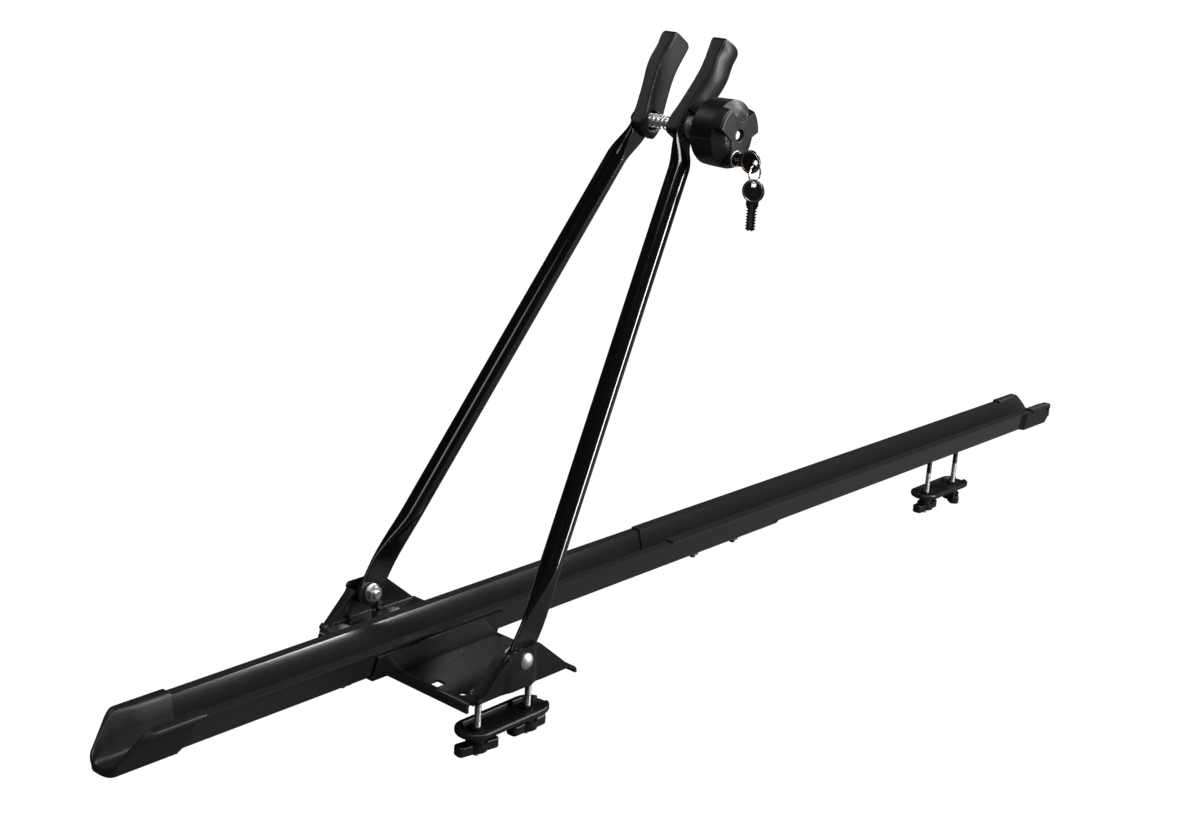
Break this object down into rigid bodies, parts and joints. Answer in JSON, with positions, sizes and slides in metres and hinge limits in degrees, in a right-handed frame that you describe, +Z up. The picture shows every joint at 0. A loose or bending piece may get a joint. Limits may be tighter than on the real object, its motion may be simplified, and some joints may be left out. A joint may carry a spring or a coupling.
{
  "type": "roof mounted bike carrier",
  "caption": "Wheel rail on a pressed steel bracket, with two leaning tubular arms whose soft jaws are drawn together by a lockable hand knob, and wing nut crossbar clamps",
  "frame": {"origin": "centre of the bracket's flat underside, between the four front clamp bolts, where it rests on the front crossbar", "axes": "+X along the rail away from the bracket's end, +Y to the side away from the hand knob, +Z up"},
  "size_m": [1.422, 0.2212, 0.5793],
  "materials": {
    "black_steel": "satin black powder coat",
    "rail_coat": "gloss black coat on formed sheet",
    "black_plastic": "fine grained black moulding",
    "soft_rubber": "soft matte black",
    "zinc": "bright zinc plate",
    "bright": "polished",
    "key_steel": "nickel plate",
    "nylon": "plain black nylon"
  },
  "bodies": {
    "base": {"bracket": "black_steel", "rail_saddle": "black_steel", "front_rail": "rail_coat", "rear_rail": "rail_coat", "front_end_cap": "black_plastic", "rear_end_cap": "black_plastic", "rail_mount_bolts": "black_steel", "rail_mount_nuts": "zinc", "rail_joint_bolts": "black_steel", "rail_joint_nuts": "zinc", "front_clamp_bolts": "zinc", "pivot_bolts": "black_steel", "pivot_nuts": "zinc", "pivot_spacers": "nylon"},
    "rear_studs": {"rear_clamp_bolts": "zinc"},
    "far_arm": {"far_arm_tube": "black_steel", "far_jaw": "soft_rubber", "clamp_rod": "zinc", "rod_end_nut": "zinc", "clamp_spring": "zinc"},
    "near_arm": {"near_arm_tube": "black_steel", "near_jaw": "soft_rubber"},
    "clamp_slide": {"clamp_washer": "zinc"},
    "knob": {"hand_knob": "black_plastic", "knob_insert": "zinc", "lock_ring": "bright"},
    "lock": {"lock_cylinder": "zinc", "inserted_key": "key_steel"},
    "ring": {"key_ring": "key_steel"},
    "spare": {"spare_key": "key_steel"},
    "near_clamp": {"near_clamp_plate": "black_plastic"},
    "near_nut_front": {"near_wing_nut_front": "black_plastic", "near_wing_insert_front": "zinc"},
    "near_nut_back": {"near_wing_nut_back": "black_plastic", "near_wing_insert_back": "zinc"},
    "far_clamp": {"far_clamp_plate": "black_plastic"},
    "far_nut_front": {"far_wing_nut_front": "black_plastic", "far_wing_insert_front": "zinc"},
    "far_nut_back": {"far_wing_nut_back": "black_plastic", "far_wing_insert_back": "zinc"},
    "rear_clamp": {"rear_clamp_plate": "black_plastic"},
    "rear_nut_front": {"rear_wing_nut_front": "black_plastic", "rear_wing_insert_front": "zinc"},
    "rear_nut_back": {"rear_wing_nut_back": "black_plastic", "rear_wing_insert_back": "zinc"}
  },
  "joints": [
    {"name": "rear_clamp_slide", "type": "slide", "parent": "base", "child": "rear_studs", "axis": [1, 0, 0], "range_m": [-0.04, 0.04]},
    {"name": "arm_fold", "type": "hinge", "parent": "base", "child": "far_arm", "pos_m": [0.0065, 0, 0.026], "axis": [0, 1, 0], "range_deg": [-30, 52]},
    {"name": "jaw_open", "type": "hinge", "parent": "far_arm", "child": "near_arm", "pos_m": [0.0065, -0.0925, 0.026], "axis": [-0.8495, 0, 0.5275], "range_deg": [-3, 1.8], "deforming": ["clamp_spring"]},
    {"name": "clamp_travel", "type": "slide", "parent": "far_arm", "child": "clamp_slide", "axis": [0, 1, 0], "range_m": [-0.0251, 0.0151]},
    {"name": "knob_spin", "type": "hinge", "parent": "clamp_slide", "child": "knob", "pos_m": [0.2647, -0.06, 0.4418], "axis": [0, 1, 0], "range_deg": [-7200, 4320]},
    {"name": "lock_turn", "type": "hinge", "parent": "knob", "child": "lock", "pos_m": [0.26112, -0.08, 0.42151], "axis": [0, 1, 0], "range_deg": [0, 90]},
    {"name": "ring_swing", "type": "hinge", "parent": "lock", "child": "ring", "pos_m": [0.26112, -0.1068, 0.42041], "axis": [1, 0, 0], "range_deg": [-70, 15]},
    {"name": "spare_key_swing", "type": "hinge", "parent": "ring", "child": "spare", "pos_m": [0.26112, -0.1068, 0.40401], "axis": [1, 0, 0], "range_deg": [-60, 15]},
    {"name": "near_clamp_lift", "type": "slide", "parent": "base", "child": "near_clamp", "axis": [0, 0, 1], "range_m": [-0.0021, 0.0121]},
    {"name": "near_nut_front_spin", "type": "hinge", "parent": "near_clamp", "child": "near_nut_front", "pos_m": [-0.03, -0.0845, -0.05], "axis": [0, 0, 1], "range_deg": [-720, 4320]},
    {"name": "near_nut_back_spin", "type": "hinge", "parent": "near_clamp", "child": "near_nut_back", "pos_m": [0.03, -0.0845, -0.05], "axis": [0, 0, 1], "range_deg": [-720, 4320]},
    {"name": "far_clamp_lift", "type": "slide", "parent": "base", "child": "far_clamp", "axis": [0, 0, 1], "range_m": [-0.0021, 0.0121]},
    {"name": "far_nut_front_spin", "type": "hinge", "parent": "far_clamp", "child": "far_nut_front", "pos_m": [-0.03, 0.0845, -0.05], "axis": [0, 0, 1], "range_deg": [-720, 4320]},
    {"name": "far_nut_back_spin", "type": "hinge", "parent": "far_clamp", "child": "far_nut_back", "pos_m": [0.03, 0.0845, -0.05], "axis": [0, 0, 1], "range_deg": [-720, 4320]},
    {"name": "rear_clamp_lift", "type": "slide", "parent": "rear_studs", "child": "rear_clamp", "axis": [0, 0, 1], "range_m": [-0.0021, 0.0121]},
    {"name": "rear_nut_front_spin", "type": "hinge", "parent": "rear_clamp", "child": "rear_nut_front", "pos_m": [0.815, 0, -0.05], "axis": [0, 0, 1], "range_deg": [-720, 4320]},
    {"name": "rear_nut_back_spin", "type": "hinge", "parent": "rear_clamp", "child": "rear_nut_back", "pos_m": [0.875, 0, -0.05], "axis": [0, 0, 1], "range_deg": [-720, 4320]}
  ],
  "couplings": [
    {"joint": "clamp_travel", "follows": "knob_spin", "m_per_rad": 0.00019894},
    {"joint": "jaw_open", "follows": "knob_spin", "ratio": 0.00040647},
    {"joint": "near_clamp_lift", "follows": "near_nut_front_spin", "m_per_rad": 0.00015915},
    {"joint": "near_nut_back_spin", "follows": "near_nut_front_spin", "ratio": 1},
    {"joint": "far_clamp_lift", "follows": "far_nut_front_spin", "m_per_rad": 0.00015915},
    {"joint": "far_nut_back_spin", "follows": "far_nut_front_spin", "ratio": 1},
    {"joint": "rear_clamp_lift", "follows": "rear_nut_front_spin", "m_per_rad": 0.00015915},
    {"joint": "rear_nut_back_spin", "follows": "rear_nut_front_spin", "ratio": 1}
  ]
}
